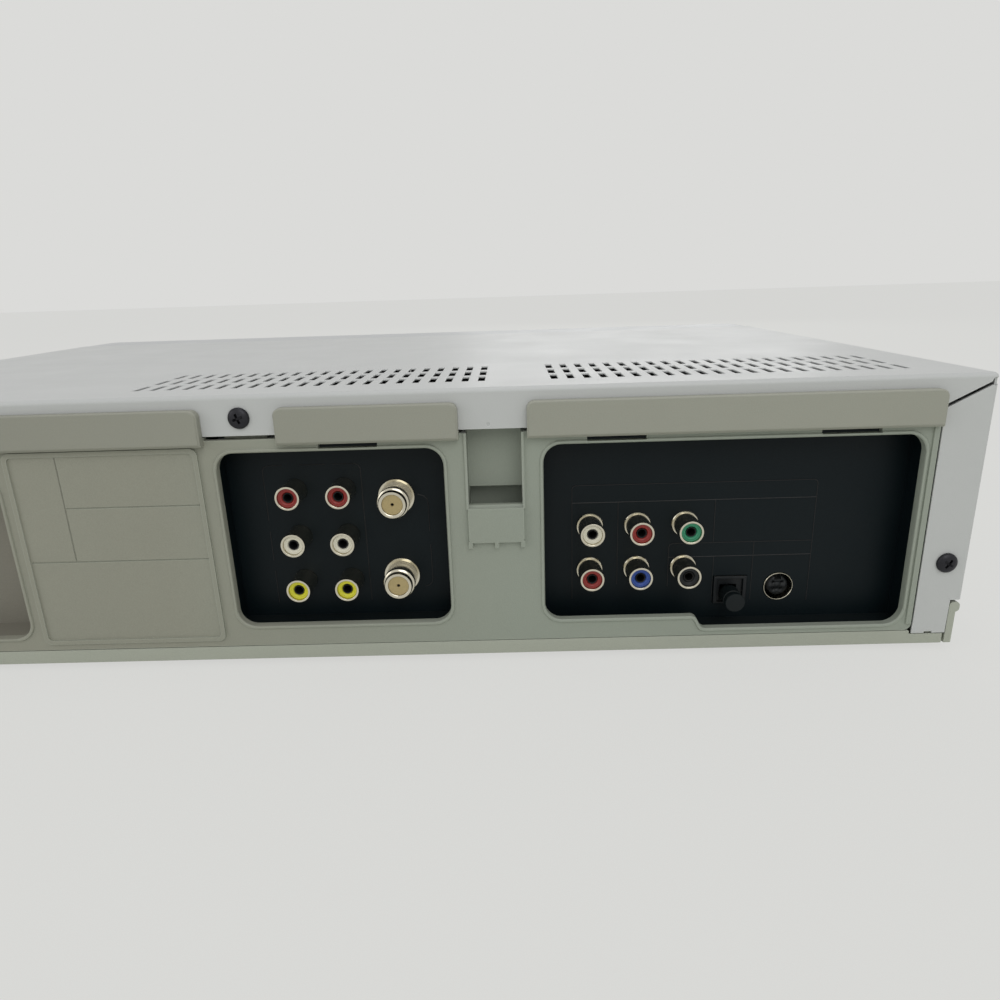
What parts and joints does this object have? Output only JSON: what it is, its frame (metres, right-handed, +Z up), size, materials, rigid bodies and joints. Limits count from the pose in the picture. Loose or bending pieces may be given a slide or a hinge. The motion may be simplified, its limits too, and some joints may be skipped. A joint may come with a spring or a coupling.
{
  "type": "disc and cassette player",
  "caption": "Low silver-grey player for discs and video cassettes, with recessed rear connector bays, a sliding disc tray, a cassette door and a tape deck inside.",
  "frame": {"origin": "on the table under the middle of the case", "axes": "+Z up, +X along the case's width (the front's right), the front faces -Y and the connector side faces +Y"},
  "size_m": [0.4338, 0.28, 0.0975],
  "materials": {
    "cover_paint": "satin silver-grey",
    "base_plastic": "fine texture",
    "panel_plastic": "fine texture",
    "bezel_plastic": "satin silver",
    "door_plastic": "satin silver",
    "galvanised": "zinc plated",
    "foot_rubber": "matte",
    "plate_plastic": "satin",
    "nickel": "nickel plated",
    "red_insert": "gloss",
    "white_insert": "gloss",
    "yellow_insert": "gloss",
    "green_insert": "gloss",
    "blue_insert": "gloss",
    "black_insert": "satin",
    "dielectric": "waxy",
    "cap_plastic": "satin",
    "smoked_window": "gloss",
    "board": "solder mask",
    "core": "varnish",
    "tin": "tin plated",
    "loader_plastic": "matte",
    "tray_plastic": "satin",
    "gear_plastic": "satin",
    "turntable_plastic": "satin",
    "motor_can": "drawn steel",
    "drum_alloy": "turned",
    "shaft_steel": "ground",
    "roller_rubber": "matte",
    "key_plastic": "satin",
    "screw_black": "black oxide",
    "screw_zinc": "zinc plated"
  },
  "bodies": {
    "case": {"top_cover": "cover_paint", "base_frame": "base_plastic", "rear_panel": "panel_plastic", "rear_lips": "panel_plastic", "rear_pockets": "panel_plastic", "front_bezel": "bezel_plastic", "bottom_plate": "galvanised", "vcr_chassis": "galvanised", "clamp_bridge": "galvanised", "feet": "foot_rubber", "jack_plate_vcr": "plate_plastic", "jack_plate_dvd": "plate_plastic", "rca_shells": "nickel", "f_connectors": "nickel", "svideo_shield": "nickel", "rca_inserts_red": "red_insert", "rca_inserts_white": "white_insert", "rca_inserts_yellow": "yellow_insert", "rca_insert_green": "green_insert", "rca_insert_blue": "blue_insert", "black_inserts": "black_insert", "optical_jack": "black_insert", "ac_inlet": "black_insert", "f_dielectrics": "dielectric", "display_window": "smoked_window", "front_pcb": "board", "inner_boards": "board", "transformer": "core", "tuner_can": "tin", "loader_frame": "loader_plastic", "tape_heads": "motor_can", "lower_drum": "drum_alloy", "cover_screws": "screw_black", "deck_screws": "screw_zinc"},
    "tray": {"disc_tray": "tray_plastic", "tray_front": "bezel_plastic"},
    "tray_gear": {"tray_gear": "gear_plastic"},
    "traverse": {"traverse_plate": "galvanised", "traverse_motors": "motor_can", "sled_rods": "nickel"},
    "turntable": {"disc_turntable": "turntable_plastic"},
    "pickup_sled": {"pickup": "gear_plastic"},
    "lead_screw": {"lead_screw": "nickel"},
    "clamp_puck": {"clamp_puck": "gear_plastic"},
    "cassette_door": {"cassette_flap": "door_plastic"},
    "cassette_cage": {"cassette_cage": "galvanised"},
    "drum": {"upper_drum": "drum_alloy"},
    "capstan": {"capstan": "shaft_steel"},
    "supply_reel": {"supply_reel": "turntable_plastic"},
    "takeup_reel": {"takeup_reel": "turntable_plastic"},
    "pinch_arm": {"pinch_arm": "loader_plastic"},
    "pinch_roller": {"pinch_roller": "roller_rubber"},
    "dust_cap": {"dust_cap": "cap_plastic"},
    "power_button": {"power_button": "key_plastic"},
    "open_button": {"open_button": "key_plastic"},
    "dvd_play_button": {"dvd_play_button": "key_plastic"},
    "dvd_stop_button": {"dvd_stop_button": "key_plastic"},
    "vcr_eject_button": {"vcr_eject_button": "key_plastic"},
    "vcr_play_button": {"vcr_play_button": "key_plastic"},
    "wind_rocker": {"wind_rocker": "key_plastic"}
  },
  "joints": [
    {"name": "tray_slide", "type": "slide", "parent": "case", "child": "tray", "axis": [0, -1, 0], "range_m": [0, 0.135]},
    {"name": "tray_gear_spin", "type": "hinge", "parent": "case", "child": "tray_gear", "pos_m": [-0.0509, -0.086, 0.0595], "axis": [0, 0, 1], "range_deg": [0, 862]},
    {"name": "traverse_lift", "type": "hinge", "parent": "case", "child": "traverse", "pos_m": [-0.108, 0.045, 0.0506], "axis": [-1, 0, 0], "range_deg": [0, 5]},
    {"name": "turntable_spin", "type": "hinge", "parent": "traverse", "child": "turntable", "pos_m": [-0.108, -0.0691, 0.05828], "axis": [0, -0.0872, 0.9962], "continuous": true},
    {"name": "sled_slide", "type": "slide", "parent": "traverse", "child": "pickup_sled", "axis": [0, 0.9962, 0.0872], "range_m": [0, 0.034]},
    {"name": "lead_screw_spin", "type": "hinge", "parent": "traverse", "child": "lead_screw", "pos_m": [-0.142, -0.00033, 0.05236], "axis": [0, 0.9962, 0.0872], "range_deg": [-5, 4085]},
    {"name": "clamp_puck_spin", "type": "hinge", "parent": "case", "child": "clamp_puck", "pos_m": [-0.108, -0.068, 0.076], "axis": [0, 0, 1], "continuous": true},
    {"name": "cassette_door_hinge", "type": "hinge", "parent": "case", "child": "cassette_door", "pos_m": [0.105, -0.1354, 0.0834], "axis": [1, 0, 0], "range_deg": [0, 85], "stiffness_Nm_per_rad": 0.004, "springref_deg": -17.19},
    {"name": "cassette_cage_slide", "type": "slide", "parent": "case", "child": "cassette_cage", "axis": [0, 0.8508, -0.5255], "range_m": [0, 0.0399]},
    {"name": "drum_spin", "type": "hinge", "parent": "case", "child": "drum", "pos_m": [0.105, 0.075, 0.05], "axis": [0, 0, 1], "continuous": true},
    {"name": "capstan_spin", "type": "hinge", "parent": "case", "child": "capstan", "pos_m": [0.157, 0.048, 0.03], "axis": [0, 0, 1], "continuous": true},
    {"name": "supply_reel_spin", "type": "hinge", "parent": "case", "child": "supply_reel", "pos_m": [0.059, -0.01, 0.025], "axis": [0, 0, 1], "continuous": true},
    {"name": "takeup_reel_spin", "type": "hinge", "parent": "case", "child": "takeup_reel", "pos_m": [0.151, -0.01, 0.025], "axis": [0, 0, 1], "continuous": true},
    {"name": "pinch_arm_swing", "type": "hinge", "parent": "case", "child": "pinch_arm", "pos_m": [0.18, 0.056, 0.026], "axis": [0, 0, 1], "range_deg": [0, 36], "stiffness_Nm_per_rad": 0.002, "springref_deg": -11.46},
    {"name": "pinch_roller_spin", "type": "hinge", "parent": "pinch_arm", "child": "pinch_roller", "pos_m": [0.16631, 0.06136, 0.034], "axis": [0, 0, 1], "continuous": true},
    {"name": "dust_cap_pull", "type": "slide", "parent": "case", "child": "dust_cap", "axis": [0, 1, 0], "range_m": [0, 0.012]},
    {"name": "wind_rocker_tilt", "type": "hinge", "parent": "case", "child": "wind_rocker", "pos_m": [0.16, -0.1325, 0.031], "axis": [0, 0, 1], "range_deg": [-4, 4], "stiffness_Nm_per_rad": 0.08},
    {"name": "power_button_press", "type": "slide", "parent": "case", "child": "power_button", "axis": [0, 1, 0], "range_m": [0, 0.0008], "stiffness_N_per_m": 600, "springref_m": -0.0008},
    {"name": "open_button_press", "type": "slide", "parent": "case", "child": "open_button", "axis": [0, 1, 0], "range_m": [0, 0.0008], "stiffness_N_per_m": 600, "springref_m": -0.0008},
    {"name": "dvd_play_button_press", "type": "slide", "parent": "case", "child": "dvd_play_button", "axis": [0, 1, 0], "range_m": [0, 0.0008], "stiffness_N_per_m": 600, "springref_m": -0.0008},
    {"name": "dvd_stop_button_press", "type": "slide", "parent": "case", "child": "dvd_stop_button", "axis": [0, 1, 0], "range_m": [0, 0.0008], "stiffness_N_per_m": 600, "springref_m": -0.0008},
    {"name": "vcr_eject_button_press", "type": "slide", "parent": "case", "child": "vcr_eject_button", "axis": [0, 1, 0], "range_m": [0, 0.0008], "stiffness_N_per_m": 600, "springref_m": -0.0008},
    {"name": "vcr_play_button_press", "type": "slide", "parent": "case", "child": "vcr_play_button", "axis": [0, 1, 0], "range_m": [0, 0.0008], "stiffness_N_per_m": 600, "springref_m": -0.0008}
  ],
  "couplings": [
    {"joint": "tray_gear_spin", "follows": "tray_slide", "rad_per_m": 111.11},
    {"joint": "lead_screw_spin", "follows": "sled_slide", "rad_per_m": 2094.4}
  ]
}
